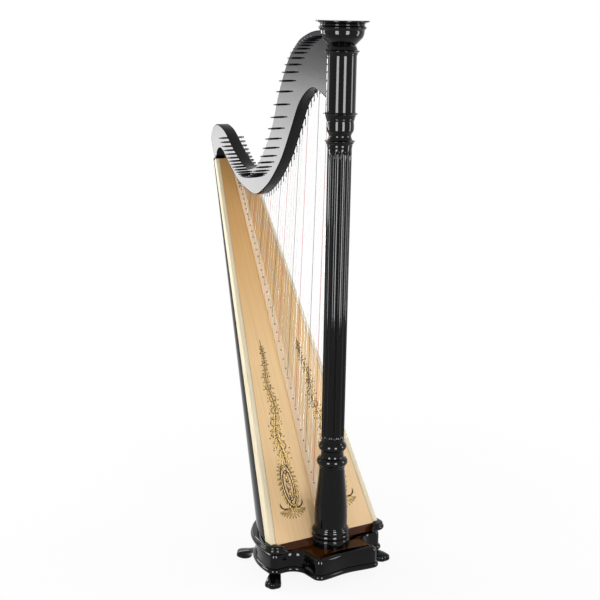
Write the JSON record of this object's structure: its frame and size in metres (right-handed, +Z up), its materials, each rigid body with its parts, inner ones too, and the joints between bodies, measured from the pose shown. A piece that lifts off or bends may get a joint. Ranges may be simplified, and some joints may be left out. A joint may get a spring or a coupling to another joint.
{
  "type": "lever harp",
  "caption": "Full-size lever harp: footed base, hollow half-round body, spruce soundboard, fluted column, curved neck with tuning pins, strings and hinged sharping levers.",
  "frame": {"origin": "middle of the harp's bounding box on the floor", "axes": "+Z up, +X towards the column, +Y towards the player's left, the side that carries strings and levers"},
  "size_m": [0.7588, 0.4598, 1.7],
  "materials": {
    "black_lacquer": "black high-gloss lacquer over wood",
    "spruce": "clear satin varnish over vertical-grained spruce",
    "pale_maple": "clear satin varnish over pale maple",
    "string_gut": "translucent gut and nylon strings over a pale wooden rib",
    "lever_metal": "dark satin metal with a black handle"
  },
  "bodies": {
    "harp": {"soundboard": "spruce", "soundboard_edge_left": "pale_maple", "soundboard_edge_right": "pale_maple", "body_shell": "black_lacquer", "base_bead": "black_lacquer", "base_box": "black_lacquer", "base_collar": "black_lacquer", "foot_front_left": "black_lacquer", "foot_front_right": "black_lacquer", "foot_rear_left": "black_lacquer", "foot_rear_right": "black_lacquer", "column_foot": "black_lacquer", "column_shaft": "black_lacquer", "column_head": "black_lacquer", "column_capital": "black_lacquer", "neck": "black_lacquer", "shoulder_block": "black_lacquer", "string_rib": "string_gut"},
    "lever_01_body": {"lever_01": "lever_metal"},
    "lever_02_body": {"lever_02": "lever_metal"},
    "lever_03_body": {"lever_03": "lever_metal"},
    "lever_04_body": {"lever_04": "lever_metal"},
    "lever_05_body": {"lever_05": "lever_metal"},
    "lever_06_body": {"lever_06": "lever_metal"},
    "lever_07_body": {"lever_07": "lever_metal"},
    "lever_08_body": {"lever_08": "lever_metal"},
    "lever_09_body": {"lever_09": "lever_metal"},
    "lever_10_body": {"lever_10": "lever_metal"},
    "lever_11_body": {"lever_11": "lever_metal"},
    "lever_12_body": {"lever_12": "lever_metal"},
    "lever_13_body": {"lever_13": "lever_metal"},
    "lever_14_body": {"lever_14": "lever_metal"},
    "lever_15_body": {"lever_15": "lever_metal"},
    "lever_16_body": {"lever_16": "lever_metal"},
    "lever_17_body": {"lever_17": "lever_metal"},
    "lever_18_body": {"lever_18": "lever_metal"},
    "lever_19_body": {"lever_19": "lever_metal"},
    "lever_20_body": {"lever_20": "lever_metal"},
    "lever_21_body": {"lever_21": "lever_metal"},
    "lever_22_body": {"lever_22": "lever_metal"},
    "lever_23_body": {"lever_23": "lever_metal"},
    "lever_24_body": {"lever_24": "lever_metal"},
    "lever_25_body": {"lever_25": "lever_metal"},
    "lever_26_body": {"lever_26": "lever_metal"},
    "lever_27_body": {"lever_27": "lever_metal"},
    "lever_28_body": {"lever_28": "lever_metal"},
    "lever_29_body": {"lever_29": "lever_metal"},
    "lever_30_body": {"lever_30": "lever_metal"},
    "lever_31_body": {"lever_31": "lever_metal"},
    "lever_32_body": {"lever_32": "lever_metal"},
    "lever_33_body": {"lever_33": "lever_metal"},
    "lever_34_body": {"lever_34": "lever_metal"},
    "lever_35_body": {"lever_35": "lever_metal"},
    "lever_36_body": {"lever_36": "lever_metal"},
    "lever_37_body": {"lever_37": "lever_metal"},
    "lever_38_body": {"lever_38": "lever_metal"},
    "lever_39_body": {"lever_39": "lever_metal"},
    "lever_40_body": {"lever_40": "lever_metal"}
  },
  "joints": [
    {"name": "lever_01_hinge", "type": "hinge", "parent": "harp", "child": "lever_01_body", "pos_m": [0.21107, 0.00763, 1.50689], "axis": [0.9993, 0.0366, 0], "range_deg": [0, 100]},
    {"name": "lever_02_hinge", "type": "hinge", "parent": "harp", "child": "lever_02_body", "pos_m": [0.19708, 0.00712, 1.51214], "axis": [0.9993, 0.0366, 0], "range_deg": [0, 100]},
    {"name": "lever_03_hinge", "type": "hinge", "parent": "harp", "child": "lever_03_body", "pos_m": [0.18309, 0.0066, 1.51459], "axis": [0.9993, 0.0366, 0], "range_deg": [0, 100]},
    {"name": "lever_04_hinge", "type": "hinge", "parent": "harp", "child": "lever_04_body", "pos_m": [0.1691, 0.00609, 1.51046], "axis": [0.9993, 0.0366, 0], "range_deg": [0, 100]},
    {"name": "lever_05_hinge", "type": "hinge", "parent": "harp", "child": "lever_05_body", "pos_m": [0.15511, 0.00558, 1.50265], "axis": [0.9993, 0.0366, 0], "range_deg": [0, 100]},
    {"name": "lever_06_hinge", "type": "hinge", "parent": "harp", "child": "lever_06_body", "pos_m": [0.14112, 0.00507, 1.49214], "axis": [0.9993, 0.0366, 0], "range_deg": [0, 100]},
    {"name": "lever_07_hinge", "type": "hinge", "parent": "harp", "child": "lever_07_body", "pos_m": [0.12713, 0.00455, 1.47888], "axis": [0.9993, 0.0366, 0], "range_deg": [0, 100]},
    {"name": "lever_08_hinge", "type": "hinge", "parent": "harp", "child": "lever_08_body", "pos_m": [0.11314, 0.00404, 1.46069], "axis": [0.9993, 0.0366, 0], "range_deg": [0, 100]},
    {"name": "lever_09_hinge", "type": "hinge", "parent": "harp", "child": "lever_09_body", "pos_m": [0.09915, 0.00353, 1.43494], "axis": [0.9993, 0.0366, 0], "range_deg": [0, 100]},
    {"name": "lever_10_hinge", "type": "hinge", "parent": "harp", "child": "lever_10_body", "pos_m": [0.08516, 0.00301, 1.404], "axis": [0.9993, 0.0366, 0], "range_deg": [0, 100]},
    {"name": "lever_11_hinge", "type": "hinge", "parent": "harp", "child": "lever_11_body", "pos_m": [0.07117, 0.0025, 1.37476], "axis": [0.9993, 0.0366, 0], "range_deg": [0, 100]},
    {"name": "lever_12_hinge", "type": "hinge", "parent": "harp", "child": "lever_12_body", "pos_m": [0.05718, 0.00199, 1.34569], "axis": [0.9993, 0.0366, 0], "range_deg": [0, 100]},
    {"name": "lever_13_hinge", "type": "hinge", "parent": "harp", "child": "lever_13_body", "pos_m": [0.04319, 0.00147, 1.31773], "axis": [0.9993, 0.0366, 0], "range_deg": [0, 100]},
    {"name": "lever_14_hinge", "type": "hinge", "parent": "harp", "child": "lever_14_body", "pos_m": [0.0292, 0.00096, 1.29266], "axis": [0.9993, 0.0366, 0], "range_deg": [0, 100]},
    {"name": "lever_15_hinge", "type": "hinge", "parent": "harp", "child": "lever_15_body", "pos_m": [0.01521, 0.00045, 1.27145], "axis": [0.9993, 0.0366, 0], "range_deg": [0, 100]},
    {"name": "lever_16_hinge", "type": "hinge", "parent": "harp", "child": "lever_16_body", "pos_m": [0.0014, -0.00006, 1.253], "axis": [0.9993, 0.0366, 0], "range_deg": [0, 100]},
    {"name": "lever_17_hinge", "type": "hinge", "parent": "harp", "child": "lever_17_body", "pos_m": [-0.01223, -0.00056, 1.23633], "axis": [0.9993, 0.0366, 0], "range_deg": [0, 100]},
    {"name": "lever_18_hinge", "type": "hinge", "parent": "harp", "child": "lever_18_body", "pos_m": [-0.02569, -0.00105, 1.22096], "axis": [0.9993, 0.0366, 0], "range_deg": [0, 100]},
    {"name": "lever_19_hinge", "type": "hinge", "parent": "harp", "child": "lever_19_body", "pos_m": [-0.03897, -0.00154, 1.2074], "axis": [0.9993, 0.0366, 0], "range_deg": [0, 100]},
    {"name": "lever_20_hinge", "type": "hinge", "parent": "harp", "child": "lever_20_body", "pos_m": [-0.05208, -0.00202, 1.19615], "axis": [0.9993, 0.0366, 0], "range_deg": [0, 100]},
    {"name": "lever_21_hinge", "type": "hinge", "parent": "harp", "child": "lever_21_body", "pos_m": [-0.06501, -0.00249, 1.18649], "axis": [0.9993, 0.0366, 0], "range_deg": [0, 100]},
    {"name": "lever_22_hinge", "type": "hinge", "parent": "harp", "child": "lever_22_body", "pos_m": [-0.07777, -0.00296, 1.17755], "axis": [0.9993, 0.0366, 0], "range_deg": [0, 100]},
    {"name": "lever_23_hinge", "type": "hinge", "parent": "harp", "child": "lever_23_body", "pos_m": [-0.09035, -0.00342, 1.1698], "axis": [0.9993, 0.0366, 0], "range_deg": [0, 100]},
    {"name": "lever_24_hinge", "type": "hinge", "parent": "harp", "child": "lever_24_body", "pos_m": [-0.10275, -0.00388, 1.16419], "axis": [0.9993, 0.0366, 0], "range_deg": [0, 100]},
    {"name": "lever_25_hinge", "type": "hinge", "parent": "harp", "child": "lever_25_body", "pos_m": [-0.11498, -0.00432, 1.16139], "axis": [0.9993, 0.0366, 0], "range_deg": [0, 100]},
    {"name": "lever_26_hinge", "type": "hinge", "parent": "harp", "child": "lever_26_body", "pos_m": [-0.12703, -0.00477, 1.16162], "axis": [0.9993, 0.0366, 0], "range_deg": [0, 100]},
    {"name": "lever_27_hinge", "type": "hinge", "parent": "harp", "child": "lever_27_body", "pos_m": [-0.13891, -0.0052, 1.16429], "axis": [0.9993, 0.0366, 0], "range_deg": [0, 100]},
    {"name": "lever_28_hinge", "type": "hinge", "parent": "harp", "child": "lever_28_body", "pos_m": [-0.15061, -0.00563, 1.16784], "axis": [0.9993, 0.0366, 0], "range_deg": [0, 100]},
    {"name": "lever_29_hinge", "type": "hinge", "parent": "harp", "child": "lever_29_body", "pos_m": [-0.16214, -0.00605, 1.17177], "axis": [0.9993, 0.0366, 0], "range_deg": [0, 100]},
    {"name": "lever_30_hinge", "type": "hinge", "parent": "harp", "child": "lever_30_body", "pos_m": [-0.17349, -0.00647, 1.17603], "axis": [0.9993, 0.0366, 0], "range_deg": [0, 100]},
    {"name": "lever_31_hinge", "type": "hinge", "parent": "harp", "child": "lever_31_body", "pos_m": [-0.18467, -0.00688, 1.18063], "axis": [0.9993, 0.0366, 0], "range_deg": [0, 100]},
    {"name": "lever_32_hinge", "type": "hinge", "parent": "harp", "child": "lever_32_body", "pos_m": [-0.19567, -0.00728, 1.18566], "axis": [0.9993, 0.0366, 0], "range_deg": [0, 100]},
    {"name": "lever_33_hinge", "type": "hinge", "parent": "harp", "child": "lever_33_body", "pos_m": [-0.2065, -0.00768, 1.19137], "axis": [0.9993, 0.0366, 0], "range_deg": [0, 100]},
    {"name": "lever_34_hinge", "type": "hinge", "parent": "harp", "child": "lever_34_body", "pos_m": [-0.21715, -0.00807, 1.19807], "axis": [0.9993, 0.0366, 0], "range_deg": [0, 100]},
    {"name": "lever_35_hinge", "type": "hinge", "parent": "harp", "child": "lever_35_body", "pos_m": [-0.22762, -0.00846, 1.20601], "axis": [0.9993, 0.0366, 0], "range_deg": [0, 100]},
    {"name": "lever_36_hinge", "type": "hinge", "parent": "harp", "child": "lever_36_body", "pos_m": [-0.23792, -0.00883, 1.21515], "axis": [0.9993, 0.0366, 0], "range_deg": [0, 100]},
    {"name": "lever_37_hinge", "type": "hinge", "parent": "harp", "child": "lever_37_body", "pos_m": [-0.24804, -0.0092, 1.22485], "axis": [0.9993, 0.0366, 0], "range_deg": [0, 100]},
    {"name": "lever_38_hinge", "type": "hinge", "parent": "harp", "child": "lever_38_body", "pos_m": [-0.25799, -0.00957, 1.23469], "axis": [0.9993, 0.0366, 0], "range_deg": [0, 100]},
    {"name": "lever_39_hinge", "type": "hinge", "parent": "harp", "child": "lever_39_body", "pos_m": [-0.26777, -0.00993, 1.24409], "axis": [0.9993, 0.0366, 0], "range_deg": [0, 100]},
    {"name": "lever_40_hinge", "type": "hinge", "parent": "harp", "child": "lever_40_body", "pos_m": [-0.27736, -0.01028, 1.25346], "axis": [0.9993, 0.0366, 0], "range_deg": [0, 100]}
  ]
}
